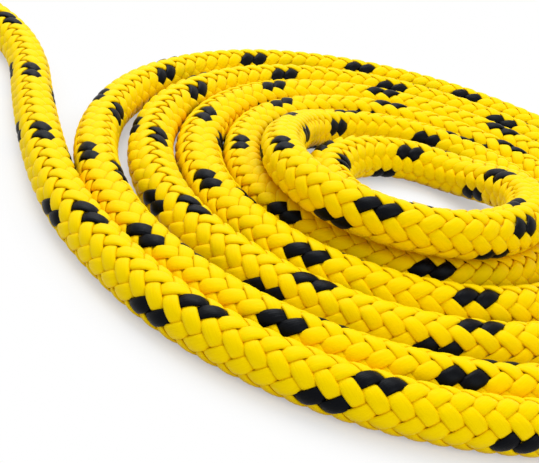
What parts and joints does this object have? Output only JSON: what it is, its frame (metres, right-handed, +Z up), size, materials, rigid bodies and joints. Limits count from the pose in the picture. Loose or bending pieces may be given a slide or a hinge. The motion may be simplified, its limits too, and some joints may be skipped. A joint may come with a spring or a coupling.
{
  "type": "dynamic climbing rope",
  "caption": "Short braided kernmantle climbing rope coiled flat, with a free tail, sealed tips and shrunk end sleeves.",
  "frame": {"origin": "middle of the rope's box in plan, on the floor that it lies on", "axes": "+Z up from the floor, +X along the longer side from the free tail to the coil, +Y from the front to the back"},
  "size_m": [0.3236, 0.1828, 0.0211],
  "materials": {
    "sheath": "braided polyamide yarn, yellow with paired black flecks",
    "core": "undyed polyamide yarn",
    "end_sleeve": "shrunk yellow plastic film, satin",
    "sealed_tip": "melted polyamide"
  },
  "bodies": {
    "root": {"rope_coil": "sheath", "tail_sheath": "sheath", "tail_core": "core", "inner_end_sleeve": "end_sleeve", "outer_end_sleeve": "end_sleeve", "inner_sealed_tip": "sealed_tip", "outer_sealed_tip": "sealed_tip"}
  },
  "joints": []
}
